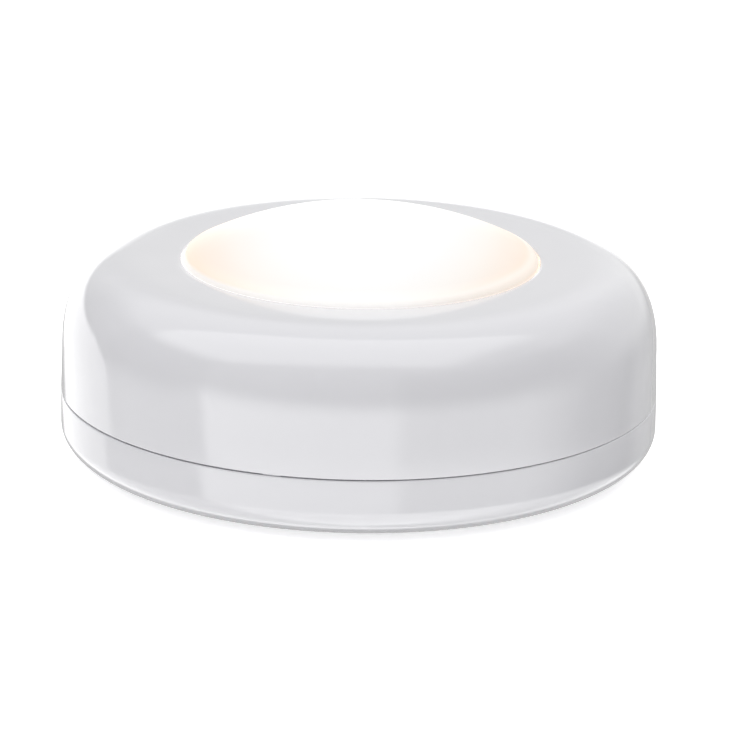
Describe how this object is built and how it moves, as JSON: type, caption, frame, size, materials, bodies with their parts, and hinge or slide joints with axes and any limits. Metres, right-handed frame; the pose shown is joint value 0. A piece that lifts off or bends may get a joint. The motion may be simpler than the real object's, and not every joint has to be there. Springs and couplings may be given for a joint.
{
  "type": "cabinet light",
  "caption": "Round battery cabinet light: a domed push-on lens in a rounded white housing that locks with a twist on a flat stick-on base.",
  "frame": {"origin": "centre of the back face that lies on the cabinet, at the bottom of the object as it rests on a table", "axes": "+Z out of the back face towards the lens, +X and +Y across the round body, the cells lying along X"},
  "size_m": [0.06, 0.06, 0.025],
  "materials": {
    "gloss_white": "gloss",
    "lens_milk": "satin",
    "chassis_white": "matte",
    "foam_white": "matte",
    "board_white": "satin",
    "led_yellow": "gloss",
    "chip_black": "satin",
    "switch_black": "satin",
    "plunger_white": "satin",
    "nickel": "satin",
    "zinc_steel": "satin",
    "cell_sleeve": "gloss",
    "wire_red": "satin",
    "wire_black": "satin"
  },
  "bodies": {
    "base": {"base": "gloss_white", "adhesive_pad": "foam_white"},
    "head": {"housing": "gloss_white", "chassis": "chassis_white", "led_board": "board_white", "switch_body": "switch_black", "wire_red": "wire_red", "wire_black": "wire_black", "led_1": "led_yellow", "led_2": "led_yellow", "led_3": "led_yellow", "led_4": "led_yellow", "led_5": "led_yellow", "led_6": "led_yellow", "resistor_1": "chip_black", "board_screw_1": "zinc_steel", "resistor_2": "chip_black", "board_screw_2": "zinc_steel", "chassis_screw_1": "zinc_steel", "chassis_screw_2": "zinc_steel", "chassis_screw_3": "zinc_steel", "chassis_screw_4": "zinc_steel", "cell_1": "cell_sleeve", "cell_2": "cell_sleeve", "cell_3": "cell_sleeve", "spring_left_front": "nickel", "spring_right": "nickel", "spring_left_back": "nickel", "contact_positive": "nickel", "contact_link_right": "nickel", "contact_link_left": "nickel", "contact_negative": "nickel"},
    "lens_button": {"lens": "lens_milk"},
    "plunger": {"switch_plunger": "plunger_white"}
  },
  "joints": [
    {"name": "head_twist", "type": "hinge", "parent": "base", "child": "head", "pos_m": [0, 0, 0], "axis": [0, 0, 1], "range_deg": [0, 18]},
    {"name": "lens_press", "type": "slide", "parent": "head", "child": "lens_button", "axis": [0, 0, -1], "range_m": [0, 0.0012], "stiffness_N_per_m": 300, "springref_m": -0.001},
    {"name": "plunger_travel", "type": "slide", "parent": "head", "child": "plunger", "axis": [0, 0, -1], "range_m": [0, 0.0012]}
  ],
  "couplings": [
    {"joint": "plunger_travel", "follows": "lens_press", "ratio": 1}
  ]
}
